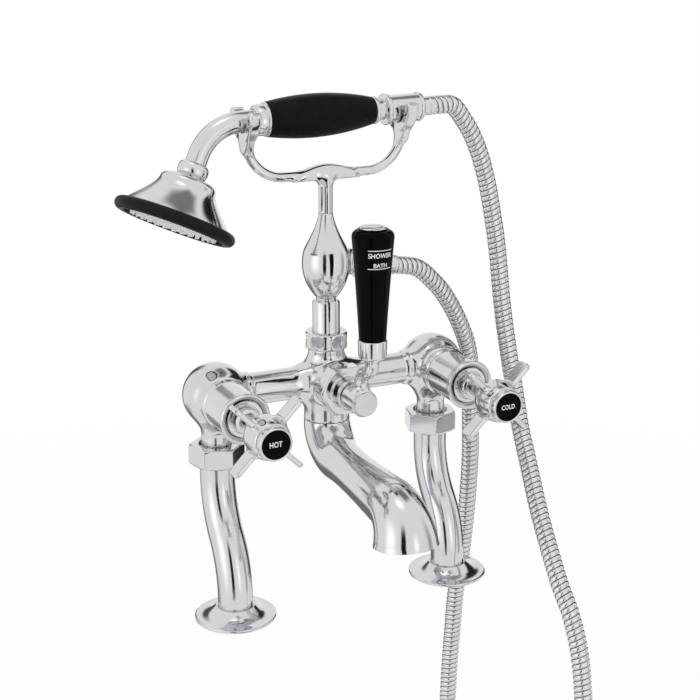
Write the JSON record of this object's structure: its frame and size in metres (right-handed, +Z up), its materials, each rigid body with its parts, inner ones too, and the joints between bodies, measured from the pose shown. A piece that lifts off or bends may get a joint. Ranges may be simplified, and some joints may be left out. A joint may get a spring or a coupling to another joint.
{
  "type": "bath shower mixer",
  "caption": "Deck-mounted bath shower mixer with cranked legs, crosshead taps, a lever diverter, a bath spout and a handset on a ribbed hose that rests in an open cradle.",
  "frame": {"origin": "midway between the two feet, on the deck's surface", "axes": "+Z up, +X along the bar to the cold side, -Y forwards over the bath"},
  "size_m": [0.3117, 0.2064, 0.7355],
  "materials": {
    "chrome": "polished",
    "black_gloss": "gloss",
    "brass": "machined",
    "rubber": "matte",
    "ceramic": "lapped",
    "white_plastic": "satin",
    "steel": "polished",
    "nozzle_rubber": "matte"
  },
  "bodies": {
    "mixer": {"mixer_body": "chrome", "spout": "chrome", "spout_flow_straightener": "white_plastic", "spout_seal": "rubber", "hot_leg": "chrome", "cold_leg": "chrome", "hot_union_nut": "chrome", "cold_union_nut": "chrome", "union_washers": "rubber", "hot_deck_flange": "chrome", "cold_deck_flange": "chrome", "deck_gaskets": "rubber", "hot_headwork": "brass", "cold_headwork": "brass", "fixed_discs": "ceramic", "headwork_seals": "rubber", "hot_shroud": "chrome", "cold_shroud": "chrome", "diverter_bonnet": "chrome", "diverter_seal": "rubber", "riser": "chrome", "riser_ring_nut": "chrome", "riser_seal": "rubber", "cradle_yoke": "chrome", "hose_outlet_nipple": "chrome", "outlet_check_valve": "white_plastic", "outlet_hose_washer": "rubber", "outlet_hose_nut": "chrome", "outlet_hose_sleeve": "chrome", "hose": "steel"},
    "hot_handle": {"hot_spindle": "brass", "hot_moving_disc": "ceramic", "hot_crosshead": "chrome", "hot_handle_screw": "steel", "hot_index_disc": "black_gloss", "hot_index_bezel": "chrome"},
    "cold_handle": {"cold_spindle": "brass", "cold_moving_disc": "ceramic", "cold_crosshead": "chrome", "cold_handle_screw": "steel", "cold_index_disc": "black_gloss", "cold_index_bezel": "chrome"},
    "diverter_lever": {"diverter_spindle": "brass", "diverter_plug": "brass", "lever_arm": "chrome", "lever_hub_cap": "chrome", "lever_ferrule": "chrome", "lever_grip": "black_gloss", "lever_cap": "chrome"},
    "handset": {"handset_hose_sleeve": "chrome", "handset_neck": "chrome", "handset_inner_tube": "brass", "handset_front_ferrule": "chrome", "handset_grip": "black_gloss", "handset_rear_ferrule": "chrome", "handset_coupling": "chrome", "rose_bell": "chrome", "rose_ring": "black_gloss", "rose_spray_plate": "white_plastic", "rose_nozzles": "nozzle_rubber"}
  },
  "joints": [
    {"name": "hot_turn", "type": "hinge", "parent": "mixer", "child": "hot_handle", "pos_m": [-0.09, -0.05, 0.165], "axis": [0, -1, 0], "range_deg": [0, 90]},
    {"name": "cold_turn", "type": "hinge", "parent": "mixer", "child": "cold_handle", "pos_m": [0.09, -0.05, 0.165], "axis": [0, 1, 0], "range_deg": [0, 90]},
    {"name": "diverter_turn", "type": "hinge", "parent": "mixer", "child": "diverter_lever", "pos_m": [0, -0.02, 0.165], "axis": [0, 1, 0], "range_deg": [-45, 45]},
    {"name": "handset_lift", "type": "slide", "parent": "mixer", "child": "handset", "axis": [0, 0, 1], "range_m": [0, 0.03], "deforming": ["hose"]}
  ]
}
